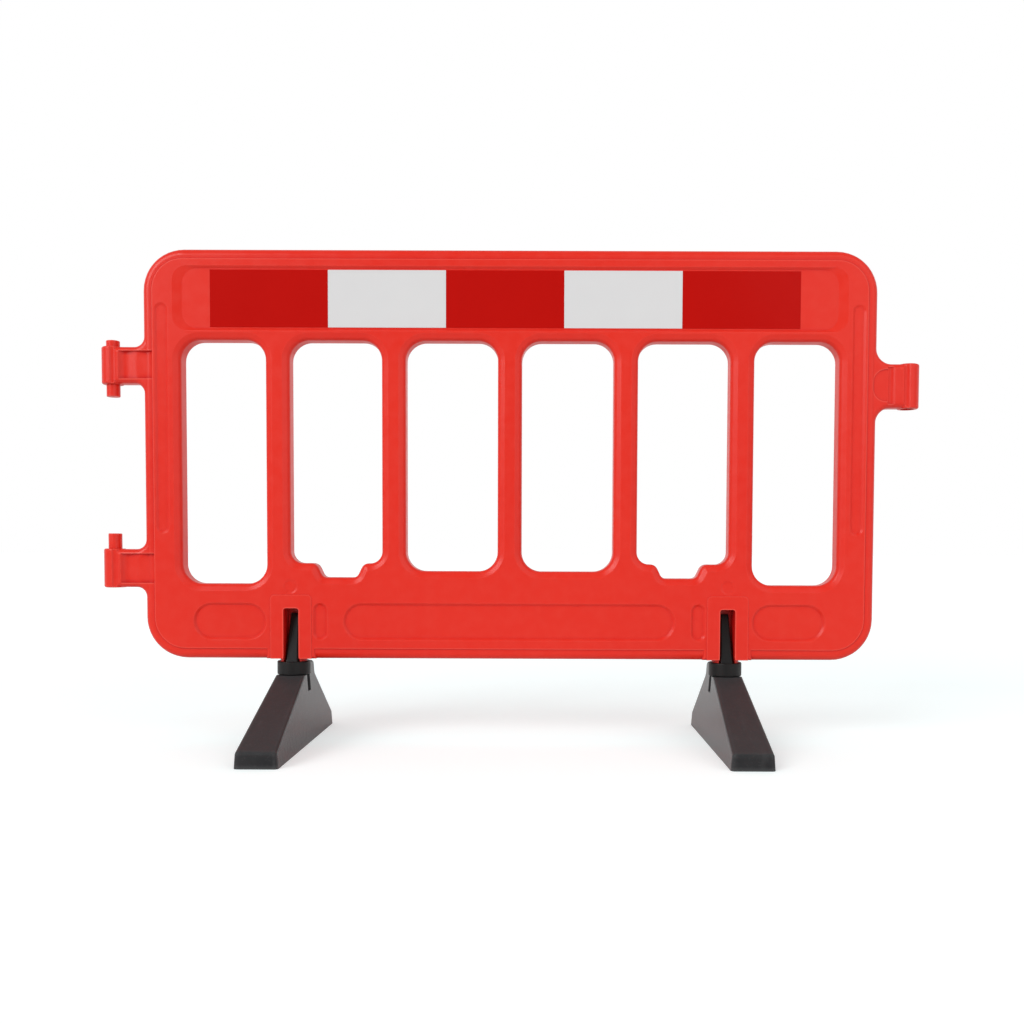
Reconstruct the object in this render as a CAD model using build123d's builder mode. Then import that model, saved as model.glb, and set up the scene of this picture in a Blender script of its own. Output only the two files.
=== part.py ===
from build123d import *
import os

os.makedirs("parts", exist_ok=True)

# Linking traffic barrier panel. Millimetres, +Z up, +X along the panel, front towards -Y.
# The origin is on the floor, in the middle of the space that the panel and its feet take up.

# Moulded panel, a hollow one-piece shell
panel_width = 1489         # over the rounded edges, without the hinge lugs
panel_height = 830
panel_clearance = 170      # floor to the lower edge
panel_corner = 84          # radius of the outline's corners
face_thickness = 50        # over the two flat faces
edge_step = 2              # the band along the outer edge lies this far below the faces
edge_band = 20.5           # width of that band
edge_round = 14            # rounding of the outer edge
step_round = 1.2           # rounding of the step between band and face
crease_round = 2           # rounding of the other creases on the faces
wall = 3.2                 # least wall of the hollow moulding

# Six windows, with five bars between two stiles
stile_width = 76
bar_width = 49
window_width = 187         # the four middle windows; the outer two share what is left
strip_rail = 3.5           # flat face between the sheets' recess and the windows' rims
outer_rail = 153           # rail height under the outer windows
shoulder_rail = 195.5      # under the shoulders of the notched windows
notch_rail = 166.5         # under their notches
middle_rail = 180          # under the two middle windows
window_corner = 40
rim_width = 14             # sloped rim round each window, on both faces
rim_drop = 6               # the rim falls by this towards the window
rim_round = 10             # rounding between rim and window wall
notch_top = 97
notch_bottom = 69
notch_shift = 7            # the notch sits this far towards the panel's middle
shoulder_corner = 25
shoulder_tip = 16
notch_corner = 13

# Reflective sheets and their recess, on both faces
sheet_height = 115
sheet_thickness = 0.6
sheet_count = 5
sheet_joint = 0.4          # gap between neighbouring sheets
sheet_shift = -10          # the row of sheets is off the middle of the panel
strip_top = 35             # from the panel's top to the recess
strip_end = 66.7           # bare recess floor at each end of the row, if the row were in the middle
strip_margin = 2.5         # recess floor above and below the sheets
strip_depth = 4
strip_slope = 5            # width of the recess's sloped wall above and below the sheets
strip_end_slope = 19       # and at the two ends
strip_corner = 30

# Shallow stiffening recesses, on both faces
recess_depth = 3.5
recess_slope = 5
rail_recess_height = 76
rail_recess_rise = 76.5    # middle of the rail recesses above the lower edge
outer_recess_width = 150
outer_recess_inset = 174.5 # middle of the recess from the panel's side
middle_recess_width = 678
small_recess_width = 30
small_recess_x = 386
stile_recess_depth = 2.5
stile_recess_slope = 5
stile_recess_width = 28
stile_recess_length = 466
stile_recess_inset = 39    # middle of the recess from the panel's side
stile_recess_drop = 342    # middle of the recess below the panel's top
mark_radius = 15           # round mark of the moulding tool above each foot socket
mark_depth = 1
mark_slope = 4
mark_rise = 148

# Foot sockets in the lower rail
foot_x = 446
pad_width = 84
pad_rise = 131
pad_step = 0.8             # the pad stands this far out of the face
pad_corner = 9
pad_round = 0.6
apron_reach = 8.5          # the pad's foot, level with the face, is wider by this on each side
apron_rise = 30
apron_round = 6
slot_width = 31
slot_rise = 103.5
slot_corner = 5
slot_flare = 6             # the slot widens by this on each side down to the boss's end
flare_round = 60
socket_back = 6            # wall behind the slot, to the rear face
boss_radius = 27
boss_length = 20           # below the lower edge

# Hinge lugs: two with pins on the left, one bored knuckle on the right
pin_offset = 68.5          # pin axis from the panel's side
barrel_radius = 22
barrel_overlap = 1         # the barrel is longer than the arm by this at each end
barrel_round = 4
arm_step = 1.5             # the arms lie this far below the band
arm_round = 12             # rounding of the arms' edges
arm_root = 30              # length of the arm inside the panel
pin_radius = 13.25         # of the free ends
pin_shoulder = 0.75        # the stretch inside the lug is thicker by this, all round
pin_seat_clearance = 0.05
pin_round = 1.5
upper_lug_drop = 233       # middle of the lug below the panel's top
upper_lug_height = 74
upper_pin_above = 14
upper_pin_below = 25.5
lower_lug_rise = 184       # middle of the lug above the panel's lower edge
lower_lug_height = 78
lower_pin_above = 32
left_flare = 20            # fillet between arm and panel side
left_flange = 9            # flange above and below the wavy pocket of the left arms
pocket_wave = [(50, 0), (31.5, 7), (12, 3.5), (-7, 6), (-20, 0)]  # place from the panel's side, depth
barrel_groove_place = 60   # groove beside each barrel, from the panel's side
barrel_groove_depth = 2
groove_radius = 12
knuckle_drop = 270         # middle of the knuckle below the panel's top
knuckle_height = 88.5
link_play = 0.45           # between the knuckle's bore and a neighbour's pin, all round
right_flare = 31
knuckle_flange = 7
knuckle_groove_place = 28  # second groove of the knuckle
knuckle_groove_depth = 3
dish_depth = 1.5           # shallow dish between the knuckle and the panel
dish_reach = 8.5           # into the panel's edge
dish_width = 31
dish_margin = 12           # above and below the dish
dish_corner = 26           # at the panel
dish_end_corner = 3        # at the groove

# Swivel post: cup collar, blade and stem in one moulding
collar_base = 13.7         # thickness under the cup's floor
collar_round = 2
cup_depth = 14
cup_wall = 6.1
cup_clearance = 0.4        # round the boss
blade_reach = 92           # above the panel's lower edge
blade_front = 24           # its front leans back from here, measured from the swivel axis
blade_rear = 16            # its upright rear, behind the axis
blade_root_width = 28
blade_root_round = 4
blade_tip_width = 16
blade_tip_depth = 6        # front to back
blade_tip_round = 2
stem_radius = 15
stem_length = 74.3         # below the collar

# Retaining screw and washer under each stem
screw_radius = 5
screw_clearance = 0.1
screw_grip = 36            # length of shank inside the stem
head_across_flats = 17
head_height = 7
washer_radius = 20
washer_clearance = 0.5     # round the screw
washer_thickness = 3

# Feet
foot_front = 285           # from the swivel axis to the front end
foot_rear = 190
foot_width = 81            # on the floor
foot_end_height = 30
foot_draft = 0.075         # each side leans in by this share of the height
foot_round = 7
seat_play = 0.3            # between the foot and the collar above it or the washer below it
front_shelf = 38           # flat top in front of the axis, where the slope ends
ear_rise = 23.5            # above the shelf
ear_front = 8
ear_rear = 57
shoulder_drop = 2          # the rear slope starts this far below the shelf
ear_clearance = 1          # round the collar
notch_front = 16           # cross slot in the foot's top, from the axis
notch_rear = 8
notch_depth = 34           # below the shelf
stem_play = 0.3
counterbore_play = 4       # round the washer

# Derived places
half_width = panel_width / 2
panel_top = panel_clearance + panel_height
panel_middle = panel_clearance + panel_height / 2
panel_y = (foot_front - foot_rear) / 2
half_face = face_thickness / 2
half_edge = half_face - edge_step
half_pad = half_face + pad_step
slot_back = half_face - socket_back
half_arm = half_edge - arm_step
strip_height = sheet_height + 2 * strip_margin
strip_width = 2 * (half_width - stile_width + rim_width)
sheet_row = strip_width - 2 * strip_end_slope - 2 * strip_end
sheet_width = (sheet_row - (sheet_count - 1) * sheet_joint) / sheet_count
sheet_drop = strip_top + strip_slope + strip_height / 2
sheet_z = panel_top - sheet_drop
top_rail = sheet_drop + strip_height / 2 + strip_slope + strip_rail + rim_width
apron_width = pad_width + 2 * apron_reach
pin_x = half_width + pin_offset
pin_seat_radius = pin_radius + pin_shoulder
knuckle_bore_radius = pin_radius + link_play
upper_lug_z = panel_top - upper_lug_drop
lower_lug_z = panel_clearance + lower_lug_rise
knuckle_z = panel_top - knuckle_drop
mark_z = panel_clearance + mark_rise
outer_window = (panel_width - 2 * stile_width - 5 * bar_width - 4 * window_width) / 2
cup_floor = panel_clearance - boss_length
collar_bottom = cup_floor - collar_base
collar_top = cup_floor + cup_depth
collar_radius = boss_radius + cup_clearance + cup_wall
blade_top = panel_clearance + blade_reach
stem_bottom = collar_bottom - stem_length
washer_hole_radius = screw_radius + washer_clearance
seat_z = collar_bottom - seat_play
ear_top = seat_z + ear_rise
ear_shoulder = seat_z - shoulder_drop
notch_floor = seat_z - notch_depth
counterbore_radius = washer_radius + counterbore_play
foot_places = {"left": -foot_x, "right": foot_x}
faces_of_panel = {"front": -1, "rear": 1}
mid_plane = Plane.XZ.offset(-panel_y)


def upright_plane(x, y, z=0):
    """Plane facing the front, with +X to the right and +Z up."""
    return Plane(origin=(x, y, z), x_dir=(1, 0, 0), z_dir=(0, -1, 0))


def window_outlines():
    """Corner points and corner radii of the six windows, from left to right."""
    widths = [outer_window] + [window_width] * 4 + [outer_window]
    rails = [outer_rail, shoulder_rail, middle_rail, middle_rail, shoulder_rail, outer_rail]
    top = panel_top - top_rail
    left = -half_width + stile_width
    outlines = []
    for place, (width, rail) in enumerate(zip(widths, rails)):
        right = left + width
        bottom = panel_clearance + rail
        if place in (1, 4):
            inwards = 1 if place == 1 else -1
            middle = (left + right) / 2 + inwards * notch_shift
            floor = panel_clearance + notch_rail
            points = [
                (left, top),
                (left, bottom),
                (middle - notch_top / 2, bottom),
                (middle - notch_bottom / 2, floor),
                (middle + notch_bottom / 2, floor),
                (middle + notch_top / 2, bottom),
                (right, bottom),
                (right, top),
            ]
            step = [shoulder_corner, shoulder_tip, notch_corner]
            radii = [window_corner] + step + step[::-1] + [window_corner]
        else:
            points = [(left, top), (left, bottom), (right, bottom), (right, top)]
            radii = [window_corner] * 4
        outlines.append((points, radii))
        left = right + bar_width
    return outlines


# Recesses with rounded ends: middle, length, width, turn, depth and slope width of each.
rail_recess_z = panel_clearance + rail_recess_rise
outer_recess_x = half_width - outer_recess_inset
stile_recess_x = half_width - stile_recess_inset
stile_recess_z = panel_top - stile_recess_drop
recesses = [(0, rail_recess_z, middle_recess_width, rail_recess_height, 0, recess_depth, recess_slope)]
for x_side in (-1, 1):
    outer_x = x_side * outer_recess_x
    small_x = x_side * small_recess_x
    stile_x = x_side * stile_recess_x
    recesses += [
        (outer_x, rail_recess_z, outer_recess_width, rail_recess_height, 0, recess_depth, recess_slope),
        (small_x, rail_recess_z, rail_recess_height, small_recess_width, 90, recess_depth, recess_slope),
        (
            stile_x,
            stile_recess_z,
            stile_recess_length,
            stile_recess_width,
            90,
            stile_recess_depth,
            stile_recess_slope,
        ),
    ]

# Everything sunk into the two faces, each shape lofted from its outline to a smaller floor.
with BuildPart() as sunk_shapes:
    for side in faces_of_panel.values():
        with BuildSketch(upright_plane(0, panel_y + side * half_face, sheet_z)):
            RectangleRounded(strip_width, strip_height + 2 * strip_slope, strip_corner)
        with BuildSketch(upright_plane(0, panel_y + side * (half_face - strip_depth), sheet_z)):
            RectangleRounded(strip_width - 2 * strip_end_slope, strip_height, strip_corner)
        loft(ruled=True)
        for x, z, length, width, turn, depth, slope in recesses:
            with BuildSketch(upright_plane(x, panel_y + side * half_face, z)):
                SlotOverall(length, width, rotation=turn)
            with BuildSketch(upright_plane(x, panel_y + side * (half_face - depth), z)):
                SlotOverall(length - 2 * slope, width - 2 * slope, rotation=turn)
            loft(ruled=True)
        for x in foot_places.values():
            with BuildSketch(upright_plane(x, panel_y + side * half_face, mark_z)):
                Circle(mark_radius)
            with BuildSketch(upright_plane(x, panel_y + side * (half_face - mark_depth), mark_z)):
                Circle(mark_radius - mark_slope)
            loft(ruled=True)

# Hinge arms and barrels. An arm is as round along its edges as the panel that it grows from.
lug_list = [
    (-1, upper_lug_z, upper_lug_height, left_flare),
    (-1, lower_lug_z, lower_lug_height, left_flare),
    (1, knuckle_z, knuckle_height, right_flare),
]
with BuildPart() as lugs:
    for x_side, z, height, flare in lug_list:
        root = half_width - arm_root
        half = height / 2
        spread = half + flare + 1
        upper = [(root, spread), (half_width, spread), (half_width, half), (pin_x, half)]
        lower = [(x, -rise) for x, rise in upper[::-1]]
        radii = [0, 0, flare, 0, 0, flare, 0, 0]
        with BuildSketch(upright_plane(0, panel_y, z)):
            with BuildLine():
                FilletPolyline(*[(x_side * x, rise) for x, rise in upper + lower], radius=radii, close=True)
            make_face()
        extrude(amount=half_arm, both=True)
    long_edges = [
        edge
        for edge in lugs.edges()
        if half_width - 0.1 < abs(edge.center().X) < pin_x - 0.1
        and abs(edge.center().Y - panel_y) > half_arm - 0.1
    ]
    fillet(long_edges, radius=arm_round)
    for x_side, z, height, flare in lug_list:
        half = height / 2 + barrel_overlap
        with BuildSketch(upright_plane(x_side * pin_x, panel_y, z)):
            with BuildLine():
                FilletPolyline(
                    (0, -half),
                    (barrel_radius, -half),
                    (barrel_radius, half),
                    (0, half),
                    radius=[0, barrel_round, barrel_round, 0],
                    close=True,
                )
            make_face()
        revolve(axis=Axis((x_side * pin_x, panel_y, z), (0, 0, 1)))

# What is cut from the lugs: bores, a groove beside each barrel, wavy pockets on the left, and the
# knuckle's second groove and dish on the right.
with BuildPart() as lug_cuts:
    for x_side, z, height, flare in lug_list:
        bore = pin_seat_radius + pin_seat_clearance if x_side < 0 else knuckle_bore_radius
        with Locations((x_side * pin_x, panel_y, z)):
            Cylinder(bore, height + 4 * barrel_overlap)
        for side in faces_of_panel.values():
            groove_y = panel_y + side * (half_arm - barrel_groove_depth + groove_radius)
            with Locations((x_side * (half_width + barrel_groove_place), groove_y, z)):
                Cylinder(groove_radius, height + 4 * barrel_overlap)
            if x_side < 0:
                wave = [
                    (-half_width - place, panel_y + side * (half_arm - depth))
                    for place, depth in pocket_wave
                ]
                outside_y = panel_y + side * (half_face + 1)
                with BuildSketch(Plane.XY.offset(z - height / 2 + left_flange)):
                    with BuildLine():
                        Spline(*wave)
                        Polyline(wave[-1], (wave[-1][0], outside_y), (wave[0][0], outside_y), wave[0])
                    make_face()
                extrude(amount=height - 2 * left_flange)
            else:
                groove_y = panel_y + side * (half_arm - knuckle_groove_depth + groove_radius)
                with Locations((half_width + knuckle_groove_place, groove_y, z)):
                    Cylinder(groove_radius, height - 2 * knuckle_flange)
                near = half_width - dish_reach
                far = near + dish_width
                half = height / 2 - dish_margin
                with BuildSketch(upright_plane(0, panel_y + side * (half_arm - dish_depth), z)):
                    with BuildLine():
                        FilletPolyline(
                            (near, -half),
                            (near, half),
                            (far, half),
                            (far, -half),
                            radius=[dish_corner, dish_corner, dish_end_corner, dish_end_corner],
                            close=True,
                        )
                    make_face()
                extrude(amount=-side * half_arm)

# Pads, their wider aprons and the bosses of the two foot sockets
with BuildPart() as sockets:
    with BuildSketch(mid_plane):
        with Locations(*[(x, panel_clearance + apron_rise / 2) for x in foot_places.values()]):
            Rectangle(apron_width, apron_rise)
    extrude(amount=half_face, both=True)
    apron_top = panel_clearance + apron_rise
    outer_edges = sockets.edges().filter_by(lambda edge: abs(edge.center().Y - panel_y) > half_face - 0.1)
    fillet(outer_edges.filter_by(lambda edge: edge.center().Z < apron_top - 0.1), radius=apron_round)
    for x in foot_places.values():
        half_pad_width = pad_width / 2
        with BuildSketch(mid_plane):
            with BuildLine():
                FilletPolyline(
                    (x - half_pad_width, panel_clearance),
                    (x - half_pad_width, panel_clearance + pad_rise),
                    (x + half_pad_width, panel_clearance + pad_rise),
                    (x + half_pad_width, panel_clearance),
                    radius=[0, pad_corner, pad_corner, 0],
                    close=True,
                )
            make_face()
        extrude(amount=half_pad, both=True)
    pad_edges = sockets.edges().filter_by(lambda edge: abs(edge.center().Y - panel_y) > half_pad - 0.1)
    fillet(pad_edges, radius=pad_round)
    with Locations(*[(x, panel_y, cup_floor) for x in foot_places.values()]):
        Cylinder(boss_radius, 2 * boss_length, align=(Align.CENTER, Align.CENTER, Align.MIN))

# Slots of the sockets, open to the front and downwards
with BuildPart() as slots:
    half_slot = slot_width / 2
    for x in foot_places.values():
        with BuildSketch(upright_plane(x, panel_y + slot_back)):
            with BuildLine():
                FilletPolyline(
                    (-half_slot - slot_flare, cup_floor - 1),
                    (-half_slot, panel_clearance),
                    (-half_slot, panel_clearance + slot_rise),
                    (half_slot, panel_clearance + slot_rise),
                    (half_slot, panel_clearance),
                    (half_slot + slot_flare, cup_floor - 1),
                    radius=[0, flare_round, slot_corner, slot_corner, flare_round, 0],
                    close=True,
                )
            make_face()
        extrude(amount=slot_back + max(half_pad, boss_radius) + 1)

# The sealed hollow inside the panel, clear of its edge, its windows and its sockets
hollow_half = half_face - max(strip_depth, recess_depth) - wall
socket_clear = pad_width + 2 * wall
with BuildPart() as hollow:
    with BuildSketch(mid_plane):
        with Locations((0, panel_middle)):
            RectangleRounded(
                panel_width - 2 * edge_band,
                panel_height - 2 * edge_band,
                panel_corner - edge_band,
            )
        for points, radii in window_outlines():
            xs = [x for x, z in points]
            zs = [z for x, z in points]
            with Locations(((min(xs) + max(xs)) / 2, (min(zs) + max(zs)) / 2)):
                RectangleRounded(
                    max(xs) - min(xs) + 2 * rim_width,
                    max(zs) - min(zs) + 2 * rim_width,
                    window_corner,
                    mode=Mode.SUBTRACT,
                )
        with Locations(*[(x, panel_clearance) for x in foot_places.values()]):
            Rectangle(socket_clear, 2 * (slot_rise + 2 * wall), mode=Mode.SUBTRACT)
    extrude(amount=hollow_half, both=True)

# Windows of the left half with a sloped, rounded rim on both faces, then the same for the right half
with BuildPart() as windows:
    for points, radii in window_outlines()[:3]:
        with BuildSketch(mid_plane):
            with BuildLine():
                FilletPolyline(*points, radius=radii, close=True)
            make_face()
        extrude(amount=half_face, both=True)
        for side in faces_of_panel.values():
            with BuildSketch(upright_plane(0, panel_y + side * (half_face - rim_drop))):
                with BuildLine():
                    FilletPolyline(*points, radius=radii, close=True)
                make_face()
            with BuildSketch(upright_plane(0, panel_y + side * half_face)):
                with BuildLine():
                    FilletPolyline(*points, radius=radii, close=True)
                make_face()
                offset(amount=rim_width, kind=Kind.ARC)
            loft(ruled=True)
    rim_y = half_face - rim_drop
    rim_edges = windows.edges().filter_by(lambda edge: abs(abs(edge.center().Y - panel_y) - rim_y) < 0.01)
    fillet(rim_edges, rim_round)
    mirror(about=Plane.YZ)

# Panel shell: slab with a rounded edge, raised faces, windows, recesses, lugs and sockets
with BuildPart() as panel_shell:
    with BuildSketch(mid_plane):
        with Locations((0, panel_middle)):
            RectangleRounded(panel_width, panel_height, panel_corner)
    extrude(amount=half_edge, both=True)
    slab_edges = panel_shell.edges().filter_by(lambda edge: abs(edge.center().Y - panel_y) > half_edge - 0.1)
    fillet(slab_edges, edge_round)
    with BuildSketch(mid_plane):
        with Locations((0, panel_middle)):
            RectangleRounded(
                panel_width - 2 * edge_band,
                panel_height - 2 * edge_band,
                panel_corner - edge_band,
            )
    extrude(amount=half_face, both=True)
    add(windows.part, mode=Mode.SUBTRACT)
    add(sunk_shapes.part, mode=Mode.SUBTRACT)
    for place in (0, -1):
        face = panel_shell.faces().sort_by(Axis.Y)[place]
        fillet([edge for wire in face.inner_wires() for edge in wire.edges()], crease_round)
        face = panel_shell.faces().sort_by(Axis.Y)[place]
        fillet(face.outer_wire().edges(), step_round)
    add(lugs.part)
    add(lug_cuts.part, mode=Mode.SUBTRACT)
    add(sockets.part)
    add(slots.part, mode=Mode.SUBTRACT)
    add(hollow.part, mode=Mode.SUBTRACT)
panel_shell.part.label = "panel_shell"
export_step(panel_shell.part, "parts/panel_shell.step")

# Hinge pins in the left lugs, thicker inside the lug than at their free ends
upper_pin_bottom = upper_lug_z - upper_lug_height / 2 - upper_pin_below
with BuildPart() as upper_hinge_pin:
    with Locations((-pin_x, panel_y, upper_lug_z)):
        Cylinder(pin_seat_radius, upper_lug_height + 2 * barrel_overlap)
    with Locations((-pin_x, panel_y, upper_pin_bottom)):
        Cylinder(
            pin_radius,
            upper_pin_below + upper_lug_height + upper_pin_above,
            align=(Align.CENTER, Align.CENTER, Align.MIN),
        )
    pin_ends = upper_hinge_pin.edges().filter_by(GeomType.CIRCLE).sort_by(Axis.Z)
    fillet([pin_ends[0], pin_ends[-1]], pin_round)
upper_hinge_pin.part.label = "upper_hinge_pin"
export_step(upper_hinge_pin.part, "parts/upper_hinge_pin.step")

with BuildPart() as lower_hinge_pin:
    with Locations((-pin_x, panel_y, lower_lug_z)):
        Cylinder(pin_seat_radius, lower_lug_height + 2 * barrel_overlap)
        Cylinder(
            pin_radius,
            lower_lug_height / 2 + lower_pin_above,
            align=(Align.CENTER, Align.CENTER, Align.MIN),
        )
    fillet(lower_hinge_pin.edges().filter_by(GeomType.CIRCLE).sort_by(Axis.Z)[-1], pin_round)
lower_hinge_pin.part.label = "lower_hinge_pin"
export_step(lower_hinge_pin.part, "parts/lower_hinge_pin.step")

# Reflective sheets, glued to the floor of the recess on both faces
sheet_pitch = sheet_width + sheet_joint
for face_name, side in faces_of_panel.items():
    sheet_y = panel_y + side * (half_face - strip_depth + sheet_thickness / 2)
    for number in range(sheet_count):
        sheet_x = sheet_shift + (number - (sheet_count - 1) / 2) * sheet_pitch
        with BuildPart() as sheet:
            with Locations((sheet_x, sheet_y, sheet_z)):
                Box(sheet_width, sheet_thickness, sheet_height)
        sheet.part.label = f"{face_name}_sheet_{number + 1}"
        export_step(sheet.part, f"parts/{sheet.part.label}.step")

# Swivel post: the boss of the panel rests in its cup and its blade stands in the slot
with BuildPart() as swivel_post:
    with Locations((0, panel_y, collar_bottom)):
        Cylinder(collar_radius, collar_top - collar_bottom, align=(Align.CENTER, Align.CENTER, Align.MIN))
    fillet(swivel_post.edges().filter_by(GeomType.CIRCLE), collar_round)
    with Locations((0, panel_y, cup_floor)):
        Cylinder(
            boss_radius + cup_clearance,
            collar_top - cup_floor,
            align=(Align.CENTER, Align.CENTER, Align.MIN),
            mode=Mode.SUBTRACT,
        )
    with BuildSketch(Plane((0, panel_y + (blade_rear - blade_front) / 2, cup_floor))):
        RectangleRounded(blade_root_width, blade_rear + blade_front, blade_root_round)
    with BuildSketch(Plane((0, panel_y + blade_rear - blade_tip_depth / 2, blade_top))):
        RectangleRounded(blade_tip_width, blade_tip_depth, blade_tip_round)
    loft(ruled=True)
    with Locations((0, panel_y, stem_bottom)):
        Cylinder(stem_radius, cup_floor - stem_bottom, align=(Align.CENTER, Align.CENTER, Align.MIN))
        Cylinder(
            screw_radius + screw_clearance,
            screw_grip + 2,
            align=(Align.CENTER, Align.CENTER, Align.MIN),
            mode=Mode.SUBTRACT,
        )

# Washer and screw that keep the foot on the stem
washer_bottom = stem_bottom - washer_thickness
with BuildPart() as post_washer:
    with Locations((0, panel_y, washer_bottom)):
        Cylinder(washer_radius, washer_thickness, align=(Align.CENTER, Align.CENTER, Align.MIN))
        Cylinder(
            washer_hole_radius,
            washer_thickness,
            align=(Align.CENTER, Align.CENTER, Align.MIN),
            mode=Mode.SUBTRACT,
        )

with BuildPart() as post_screw:
    with BuildSketch(Plane((0, panel_y, washer_bottom))):
        RegularPolygon(head_across_flats / 2, 6, major_radius=False)
    extrude(amount=-head_height)
    with Locations((0, panel_y, washer_bottom)):
        Cylinder(screw_radius, washer_thickness + screw_grip, align=(Align.CENTER, Align.CENTER, Align.MIN))

# Foot: drafted block with a long front slope, then the shelf and the ear round the collar,
# the cross slot under it and the stepped bore for the stem
front_rise = (seat_z - foot_end_height) / (foot_front - front_shelf)
ridge_y = (ear_top - seat_z) / front_rise - front_shelf
half_foot = foot_width / 2
half_top = half_foot - foot_draft * ear_top
with BuildPart() as foot:
    with BuildSketch(Plane((0, panel_y, 0), x_dir=(0, 1, 0), z_dir=(1, 0, 0))):
        with BuildLine():
            Polyline(
                (-foot_front, 0),
                (-foot_front, foot_end_height),
                (ridge_y, ear_top),
                (ear_rear, ear_top),
                (ear_rear, ear_shoulder),
                (foot_rear, foot_end_height),
                (foot_rear, 0),
                close=True,
            )
        make_face()
    extrude(amount=foot_width, both=True)
    with BuildSketch(mid_plane):
        with BuildLine():
            Polyline(
                (-half_foot, 0),
                (-half_top, ear_top),
                (half_top, ear_top),
                (half_foot, 0),
                close=True,
            )
        make_face()
    extrude(amount=2 * foot_front, both=True, mode=Mode.INTERSECT)
    fillet(foot.edges().filter_by(lambda edge: edge.center().Z > 1), foot_round)
    with Locations((0, panel_y + ear_front, seat_z)):
        Box(
            foot_width,
            foot_front,
            ear_top,
            align=(Align.CENTER, Align.MAX, Align.MIN),
            mode=Mode.SUBTRACT,
        )
    with Locations((0, panel_y, seat_z)):
        Cylinder(
            collar_radius + ear_clearance,
            ear_top,
            align=(Align.CENTER, Align.CENTER, Align.MIN),
            mode=Mode.SUBTRACT,
        )
    with Locations((0, panel_y + (notch_rear - notch_front) / 2, notch_floor)):
        Box(
            foot_width,
            notch_front + notch_rear,
            ear_top - notch_floor,
            align=(Align.CENTER, Align.CENTER, Align.MIN),
            mode=Mode.SUBTRACT,
        )
    with Locations((0, panel_y, 0)):
        Cylinder(
            stem_radius + stem_play,
            seat_z,
            align=(Align.CENTER, Align.CENTER, Align.MIN),
            mode=Mode.SUBTRACT,
        )
        Cylinder(
            counterbore_radius,
            stem_bottom + seat_play,
            align=(Align.CENTER, Align.CENTER, Align.MIN),
            mode=Mode.SUBTRACT,
        )

# One foot with its post, washer and screw under each socket
foot_pieces = {"swivel_post": swivel_post, "post_washer": post_washer, "post_screw": post_screw, "foot": foot}
for side_name, x in foot_places.items():
    for piece_name, piece in foot_pieces.items():
        with BuildPart() as placed:
            with Locations((x, 0, 0)):
                add(piece.part)
        placed.part.label = f"{side_name}_{piece_name}"
        export_step(placed.part, f"parts/{placed.part.label}.step")
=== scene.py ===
import bpy
import math
import numpy as np
from mathutils import Matrix, Vector

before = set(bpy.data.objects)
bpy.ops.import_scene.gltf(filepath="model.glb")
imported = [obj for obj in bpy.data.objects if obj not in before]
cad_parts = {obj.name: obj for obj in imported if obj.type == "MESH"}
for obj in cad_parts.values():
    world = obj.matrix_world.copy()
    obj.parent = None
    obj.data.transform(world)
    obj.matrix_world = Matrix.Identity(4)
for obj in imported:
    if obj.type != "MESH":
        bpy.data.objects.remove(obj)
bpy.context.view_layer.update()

# The panel is one hollow moulding of red polyethylene, with its windows, recesses, lugs and foot
# sockets formed in the same tool. The skin is satin, a little wavy, and finely grained by the tool.
panel_red = (0.757, 0.024, 0.010, 1)
panel_red_deep = (0.735, 0.019, 0.008, 1)
# A pale red: random mottle and scuff wear, and also a painted highlight on the outer edges.
panel_red_pale_wear_and_highlight = (0.820, 0.078, 0.055, 1)
# A dark red for painted shade in creases and in the foot slots.
panel_red_shaded = (0.620, 0.008, 0.006, 1)


def add(tree, kind, inputs=None, **settings):
    """A shader node with its settings, and each input linked to a socket or set to a value."""
    node = tree.nodes.new("ShaderNode" + kind)
    for name, value in settings.items():
        setattr(node, name, value)
    for name, value in (inputs or {}).items():
        if isinstance(value, bpy.types.NodeSocket):
            tree.links.new(value, node.inputs[name])
        else:
            node.inputs[name].default_value = value
    return node


def start_material(name):
    """A new material: its tree, its main shader and the object's own coordinates."""
    material = bpy.data.materials.new(name)
    material.use_nodes = True
    tree = material.node_tree
    place = add(tree, "TexCoord").outputs["Object"]
    return material, tree, tree.nodes["Principled BSDF"], place


def noise(tree, place, scale, detail=3.0, rough=0.55, stretch=None):
    """Cloudy values from 0 to 1. The scale counts lumps in a metre, and stretch turns them into streaks."""
    if stretch:
        place = add(tree, "Mapping", {"Vector": place, "Scale": stretch}).outputs["Vector"]
    inputs = {"Vector": place, "Scale": scale, "Detail": detail, "Roughness": rough}
    return add(tree, "TexNoise", inputs).outputs["Fac"]


def spread(tree, value, low, high, first=0.0, last=1.0):
    """A value between low and high, carried over to the range from first to last and held there."""
    inputs = {"Value": value, "From Min": low, "From Max": high, "To Min": first, "To Max": last}
    return add(tree, "MapRange", inputs).outputs["Result"]


def blend_colours(tree, share, first, second):
    """The second colour laid over the first by a share from 0 to 1."""
    node = add(tree, "Mix", data_type="RGBA")
    for name, value in (("Factor_Float", share), ("A_Color", first), ("B_Color", second)):
        socket = next(s for s in node.inputs if s.identifier == name)
        if isinstance(value, bpy.types.NodeSocket):
            tree.links.new(value, socket)
        else:
            socket.default_value = value
    return next(s for s in node.outputs if s.identifier == "Result_Color")


def bump(tree, height, depth, strength=1.0, normal=None):
    """A normal that follows a height from 0 to 1, where 1 stands proud by depth in metres."""
    inputs = {"Height": height, "Distance": depth, "Strength": strength}
    if normal:
        inputs["Normal"] = normal
    return add(tree, "Bump", inputs).outputs["Normal"]


def link(tree, socket, shader, name):
    """A value joined to one of the main shader's named inputs."""
    tree.links.new(socket, shader.inputs[name])


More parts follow.
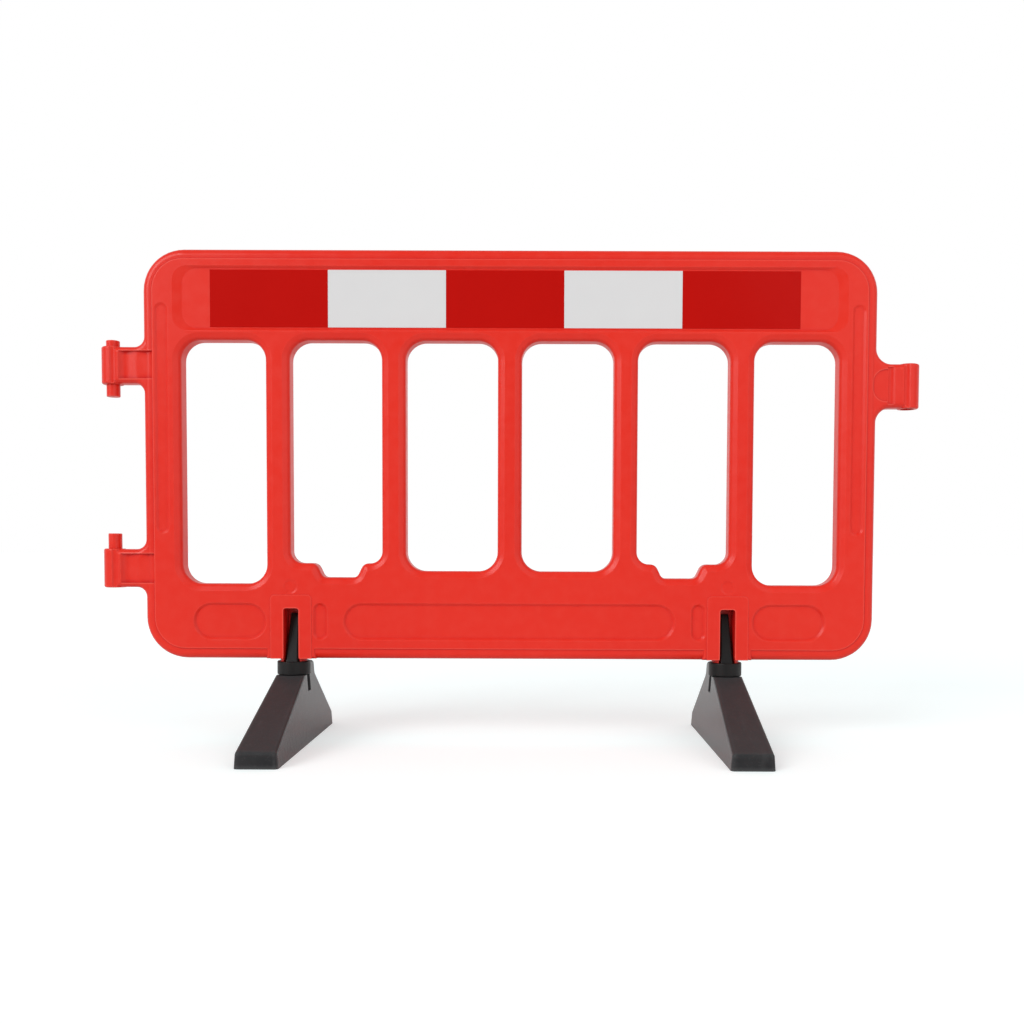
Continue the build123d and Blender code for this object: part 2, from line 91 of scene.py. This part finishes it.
def shelter(tree, reach, inside=False):
    """How closed in a point is, from 0 on an open face to 1 deep in a corner, within reach in metres.

    Looked at from inside the wall, it tells the outer edges instead of the corners.
    """
    settings = {"samples": 8, "inside": inside, "only_local": True}
    openness = add(tree, "AmbientOcclusion", {"Distance": reach}, **settings).outputs["AO"]
    return add(tree, "Math", {0: 1.0, 1: openness}, operation="SUBTRACT").outputs[0]


def moulded_red(name, grain_depth):
    """Satin red polyethylene: cloudy in colour, with pale scuffs, a painted highlight on its outer edges
    and painted shade in creases and slots.
    """
    material, tree, shader, place = start_material(name)
    clouds = noise(tree, place, 3.0, 3.0)
    mottle = noise(tree, place, 46.0, 4.0)
    scuffs = noise(tree, place, 3.0, 6.0, 0.7, stretch=(30.0, 30.0, 3.0))
    colour = blend_colours(tree, spread(tree, clouds, 0.3, 0.7), panel_red_deep, panel_red)
    colour = blend_colours(tree, spread(tree, mottle, 0.4, 0.8, 0.0, 0.12), colour, panel_red_pale_wear_and_highlight)
    colour = blend_colours(tree, spread(tree, scuffs, 0.66, 0.8, 0.0, 0.25), colour, panel_red_pale_wear_and_highlight)
    # Outer edges are painted pale as a highlight, where light catches the rounding.
    edge_highlight = spread(tree, shelter(tree, 0.003, inside=True), 0.03, 0.25, 0.0, 0.9)
    colour = blend_colours(tree, edge_highlight, colour, panel_red_pale_wear_and_highlight)
    # Creases and the deep slots are painted darker, as shade where the light is shut out.
    crease_shade = spread(tree, shelter(tree, 0.009), 0.03, 0.2, 0.0, 0.8)
    slot_shade = spread(tree, shelter(tree, 0.045), 0.26, 0.6)
    painted_shade = add(tree, "Math", {0: crease_shade, 1: slot_shade}, operation="MAXIMUM").outputs[0]
    colour = blend_colours(tree, painted_shade, colour, panel_red_shaded)
    link(tree, colour, shader, "Base Color")
    link(tree, spread(tree, mottle, 0.3, 0.7, 0.28, 0.36), shader, "Roughness")
    shader.inputs["Specular IOR Level"].default_value = 0.32
    waves = bump(tree, noise(tree, place, 11.0, 1.0), 0.0008)
    link(tree, bump(tree, noise(tree, place, 420.0, 2.0), grain_depth, normal=waves), shader, "Normal")
    return material


def dress(node_name, material):
    """A CAD node keeps its mesh and gets a new finish in its material slot."""
    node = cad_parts[node_name]
    node.data.materials.clear()
    node.data.materials.append(material)


dress("panel_shell", moulded_red("red_polyethylene", 0.00003))

# Two hinge pins are turned from red rod and pressed into the left lugs. The next panel's knuckle
# drops over their free ends, which are a little smoother than the moulded panel.
pin_finish = moulded_red("red_pin_rod", 0.00001)
for pin in ("upper_hinge_pin", "lower_hinge_pin"):
    dress(pin, pin_finish)

# Five self-adhesive reflective sheets lie end to end in a recess on each face, red and white in turn.
# Under a clear glossy film, each has a honeycomb of sealed cells with glass beads.
sheet_red = (0.480, 0.0042, 0.0022, 1)
sheet_red_border = (0.41, 0.003, 0.002, 1)
sheet_white = (0.67, 0.67, 0.67, 1)
sheet_white_border = (0.62, 0.62, 0.63, 1)
cell_width = 0.0032


def blend_vectors(tree, share, first, second):
    """The second vector in place of the first where the share is 1."""
    node = add(tree, "Mix", data_type="VECTOR")
    for name, value in (("Factor_Float", share), ("A_Vector", first), ("B_Vector", second)):
        tree.links.new(value, next(s for s in node.inputs if s.identifier == name))
    return next(s for s in node.outputs if s.identifier == "Result_Vector")


def honeycomb(tree, place, width):
    """Distance from the middle of a six-sided cell, 0.5 at its border, over the X and Z directions.

    Cell middles form two grids, one set in the gaps of the other. The nearer middle wins, and the
    distance is the largest of three that are measured square to the borders.
    """
    period = (1.0, 1.0, math.sqrt(3.0))
    half = tuple(p / 2 for p in period)
    low = tuple(-p for p in half)
    scaled = add(tree, "VectorMath", {0: place, "Scale": 1 / width}, operation="SCALE").outputs[0]
    flat = add(tree, "VectorMath", {0: scaled, 1: (1, 0, 1)}, operation="MULTIPLY").outputs[0]
    moved = add(tree, "VectorMath", {0: flat, 1: half}, operation="ADD").outputs[0]
    grids = []
    for points in (flat, moved):
        wrapped = add(tree, "VectorMath", {0: points, 1: half, 2: low}, operation="WRAP").outputs[0]
        wrapped = add(tree, "VectorMath", {0: wrapped, 1: (1, 0, 1)}, operation="MULTIPLY").outputs[0]
        length = add(tree, "VectorMath", {0: wrapped}, operation="LENGTH").outputs["Value"]
        grids.append((wrapped, length))
    (first, near), (second, far) = grids
    nearer = add(tree, "Math", {0: near, 1: far}, operation="GREATER_THAN").outputs[0]
    cell = blend_vectors(tree, nearer, first, second)
    reach = None
    for turn in (0, 60, 120):
        border = (math.cos(math.radians(turn)), 0, math.sin(math.radians(turn)))
        along = add(tree, "VectorMath", {0: cell, 1: border}, operation="DOT_PRODUCT").outputs["Value"]
        along = add(tree, "Math", {0: along}, operation="ABSOLUTE").outputs[0]
        reach = add(tree, "Math", {0: along, 1: reach}, operation="MAXIMUM").outputs[0] if reach else along
    return reach


def reflective_sheet(name, colour, border_colour):
    """Beaded sheet under a clear film: cells, faint clouds and the ripples of hand laying."""
    material, tree, shader, place = start_material(name)
    cells = honeycomb(tree, place, cell_width)
    borders = spread(tree, cells, 0.42, 0.49, 0.0, 0.35)
    clouds = noise(tree, place, 14.0, 3.0)
    tone = blend_colours(tree, spread(tree, clouds, 0.35, 0.75, 0.0, 0.2), colour, border_colour)
    link(tree, blend_colours(tree, borders, tone, border_colour), shader, "Base Color")
    link(tree, spread(tree, clouds, 0.3, 0.7, 0.5, 0.6), shader, "Roughness")
    ripples = bump(tree, noise(tree, place, 26.0, 1.5), 0.0002)
    link(tree, bump(tree, borders, 0.00005, 0.5, ripples), shader, "Normal")
    link(tree, ripples, shader, "Coat Normal")
    shader.inputs["Specular IOR Level"].default_value = 0.03
    shader.inputs["Coat Weight"].default_value = 0.08
    shader.inputs["Coat Roughness"].default_value = 0.12
    return material


red_sheet = reflective_sheet("reflective_red_sheet", sheet_red, sheet_red_border)
white_sheet = reflective_sheet("reflective_white_sheet", sheet_white, sheet_white_border)
for face in ("front", "rear"):
    for number in range(1, 6):
        dress(f"{face}_sheet_{number}", red_sheet if number % 2 else white_sheet)

# Each foot turns on a black swivel post of glass-filled nylon. Its cup holds the panel's boss, its
# tapering blade stands in the slot above, and its stem goes down into the foot.
post_black = (0.006, 0.0055, 0.0055, 1)
post_grey = (0.018, 0.0175, 0.0175, 1)


def black_nylon(name):
    """Satin black plastic with a faint flow pattern and grey rub marks."""
    material, tree, shader, place = start_material(name)
    flow = noise(tree, place, 18.0, 4.0, 0.6, stretch=(1.0, 1.0, 0.25))
    rubs = noise(tree, place, 60.0, 5.0, 0.7, stretch=(2.0, 2.0, 0.3))
    colour = blend_colours(tree, spread(tree, rubs, 0.55, 0.8, 0.0, 0.5), post_black, post_grey)
    link(tree, colour, shader, "Base Color")
    link(tree, spread(tree, flow, 0.3, 0.7, 0.34, 0.48), shader, "Roughness")
    shader.inputs["Specular IOR Level"].default_value = 0.36
    link(tree, bump(tree, noise(tree, place, 900.0, 2.0), 0.00004), shader, "Normal")
    return material


post_finish = black_nylon("black_nylon")
for side in ("left", "right"):
    dress(f"{side}_swivel_post", post_finish)

# A washer and a hexagon screw of zinc-plated steel hold each foot on its stem, deep in the
# counterbore under the foot. The plating is dull, with a blotchy passivated tint.
zinc_bright = (0.62, 0.62, 0.60, 1)
zinc_dull = (0.40, 0.40, 0.37, 1)


def plated_steel(name):
    """Zinc plating: a metal with blotches and fine turning marks."""
    material, tree, shader, place = start_material(name)
    blotches = noise(tree, place, 160.0, 4.0)
    colour = blend_colours(tree, spread(tree, blotches, 0.35, 0.7), zinc_bright, zinc_dull)
    link(tree, colour, shader, "Base Color")
    link(tree, spread(tree, blotches, 0.3, 0.7, 0.3, 0.48), shader, "Roughness")
    link(tree, bump(tree, noise(tree, place, 2400.0, 2.0), 0.00002), shader, "Normal")
    shader.inputs["Metallic"].default_value = 1.0
    return material


steel_finish = plated_steel("zinc_plated_steel")
for side in ("left", "right"):
    dress(f"{side}_post_washer", steel_finish)
    dress(f"{side}_post_screw", steel_finish)

# The feet are heavy blocks pressed from recycled black rubber. Crumbs of it show in the coarse skin,
# the upward faces are dusty, the two long sides, drawn along the mould, are smooth with a painted pale
# sheen, and the outer edges carry a painted highlight.
rubber_black = (0.018, 0.0185, 0.020, 1)
rubber_worn = (0.026, 0.0265, 0.028, 1)
# The pale grey is real dust on crumbs, streaks and tops, and also a painted sheen on the sides and a
# painted highlight on the edges.
rubber_dust_and_sheen = (0.095, 0.096, 0.098, 1)


def recycled_rubber(name):
    """Pressed crumb rubber: worn clouds, grey crumbs, a pitted skin, a dusty top, painted highlights on the
    edges and a painted sheen on the sides.
    """
    material, tree, shader, place = start_material(name)
    clouds = noise(tree, place, 22.0, 4.0, 0.6)
    crumbs = add(tree, "TexVoronoi", {"Vector": place, "Scale": 420.0}).outputs["Color"]
    crumbs = add(tree, "SeparateColor", {"Color": crumbs}).outputs["Red"]
    streaks = noise(tree, place, 14.0, 5.0, 0.65, stretch=(3.0, 0.6, 1.0))
    colour = blend_colours(tree, spread(tree, clouds, 0.35, 0.7), rubber_black, rubber_worn)
    colour = blend_colours(tree, spread(tree, crumbs, 0.88, 1.0, 0.0, 0.15), colour, rubber_dust_and_sheen)
    colour = blend_colours(tree, spread(tree, streaks, 0.55, 0.8, 0.0, 0.3), colour, rubber_dust_and_sheen)
    # Outer edges are painted pale as a highlight.
    edge_highlight = spread(tree, shelter(tree, 0.010, inside=True), 0.06, 0.4, 0.0, 0.5)
    colour = blend_colours(tree, edge_highlight, colour, rubber_dust_and_sheen)
    facing = add(tree, "SeparateXYZ", {0: add(tree, "TexCoord").outputs["Normal"]}).outputs
    upward = spread(tree, facing["Z"], 0.5, 0.9, 0.0, 0.28)
    colour = blend_colours(tree, upward, colour, rubber_dust_and_sheen)
    # The long sides are painted paler, as the sheen of the bright floor and room that they reflect.
    sideways = add(tree, "Math", {0: facing["X"]}, operation="ABSOLUTE").outputs[0]
    side = spread(tree, sideways, 0.7, 0.95)
    side_sheen = spread(tree, clouds, 0.3, 0.7, 0.3, 0.6)
    side_sheen = add(tree, "Math", {0: side, 1: side_sheen}, operation="MULTIPLY").outputs[0]
    link(tree, blend_colours(tree, side_sheen, colour, rubber_dust_and_sheen), shader, "Base Color")
    link(tree, spread(tree, side, 0.0, 1.0, 0.48, 0.18), shader, "Roughness")
    link(tree, spread(tree, side, 0.0, 1.0, 0.22, 0.36), shader, "Specular IOR Level")
    lumps = bump(tree, noise(tree, place, 90.0, 4.0, 0.6), 0.0003)
    link(tree, bump(tree, noise(tree, place, 700.0, 3.0), 0.00006, normal=lumps), shader, "Normal")
    return material


rubber_finish = recycled_rubber("recycled_rubber")
for side in ("left", "right"):
    dress(f"{side}_foot", rubber_finish)

# The panel stands on a pale studio floor that runs out of sight. To the camera the floor is lifted to
# white and is a little cool, against the red light from the panel. The feet's soft shadow stays on it.
floor_reach = 60.0
floor_colour = (0.86, 0.86, 0.86, 1)
floor_seen = (0.72, 0.80, 0.80, 1)
floor_lift = 0.40
floor_mesh = bpy.data.meshes.new("studio_floor")
floor_corners = np.array([(-1, -1, 0), (1, -1, 0), (1, 1, 0), (-1, 1, 0)]) * floor_reach
floor_mesh.from_pydata(floor_corners.tolist(), [], [(0, 1, 2, 3)])
floor = bpy.data.objects.new("studio_floor", floor_mesh)
bpy.context.scene.collection.objects.link(floor)
floor_finish, tree, shader, _ = start_material("studio_floor")
shader.inputs["Roughness"].default_value = 0.9
shader.inputs["Specular IOR Level"].default_value = 0.0
ray = add(tree, "LightPath").outputs
link(tree, blend_colours(tree, ray["Is Camera Ray"], floor_colour, floor_seen), shader, "Base Color")
lift = add(tree, "Math", {0: ray["Is Camera Ray"], 1: floor_lift}, operation="MULTIPLY").outputs[0]
link(tree, lift, shader, "Emission Strength")
shader.inputs["Emission Color"].default_value = (1, 1, 1, 1)
floor_mesh.materials.append(floor_finish)

# Studio light: a white room whose ceiling and camera side look dim in reflections, a broad key from
# the upper left and a weaker fill from the right. The camera itself sees plain white behind the panel.
room_level = 0.60
ceiling_shine = 0.4
front_shine = 0.05
world = bpy.data.worlds.new("studio_room")
bpy.context.scene.world = world
world.use_nodes = True
tree = world.node_tree
background = tree.nodes["Background"]
ray = add(tree, "LightPath").outputs
heading = add(tree, "TexCoord").outputs["Generated"]
towards = add(tree, "SeparateXYZ", {0: heading}).outputs
shine = spread(tree, towards["Y"], -0.55, 0.15, front_shine, 1.0)
dim_above = spread(tree, towards["Z"], 0.25, 0.8, 1.0, ceiling_shine)
shine = add(tree, "Math", {0: shine, 1: dim_above}, operation="MULTIPLY").outputs[0]
level = add(tree, "Mix", {"Factor": ray["Is Glossy Ray"]}, data_type="FLOAT")
level.inputs["A"].default_value = room_level
tree.links.new(shine, level.inputs["B"])
seen = add(tree, "Math", {0: level.outputs[0], 1: ray["Is Camera Ray"]}, operation="MAXIMUM").outputs[0]
tree.links.new(seen, background.inputs["Strength"])
background.inputs["Color"].default_value = (1, 1, 1, 1)


def studio_lamp(name, towards, strength, spread_degrees):
    """A distant softbox whose light arrives from the given direction."""
    lamp = bpy.data.lights.new(name, "SUN")
    lamp.energy = strength
    lamp.angle = math.radians(spread_degrees)
    stand = bpy.data.objects.new(name, lamp)
    stand.rotation_euler = Vector(towards).to_track_quat("Z", "Y").to_euler()
    bpy.context.scene.collection.objects.link(stand)


studio_lamp("key_softbox", (-0.6, -0.69, 0.45), 1.34, 32)
studio_lamp("fill_softbox", (0.55, -0.75, 0.4), 0.55, 50)

# The camera stands two metres in front of the panel, at window height, and looks slightly down.
# A small lens shift gives the photograph's framing with upright sides.
camera_place = (0.0604, -1.9904, 0.3972)
camera_turn = 0.121
camera_down = 2.226
camera_roll = 0.214
image_width = 1024
focal_pixels = 988.1
principal_x = 536.8
principal_y = 586.9
camera = bpy.data.objects.new("camera", bpy.data.cameras.new("camera"))
bpy.context.scene.collection.objects.link(camera)
camera.data.sensor_width = 36.0
camera.data.lens = focal_pixels / image_width * camera.data.sensor_width
camera.data.shift_x = (image_width / 2 - principal_x) / image_width
camera.data.shift_y = (principal_y - image_width / 2) / image_width
turned = Matrix.Rotation(math.radians(camera_turn), 4, "Z")
tilted = Matrix.Rotation(math.radians(90 - camera_down), 4, "X")
rolled = Matrix.Rotation(math.radians(camera_roll), 4, "Z")
camera.matrix_world = Matrix.Translation(camera_place) @ turned @ tilted @ rolled
bpy.context.scene.camera = camera
bpy.context.scene.view_settings.view_transform = "Standard"
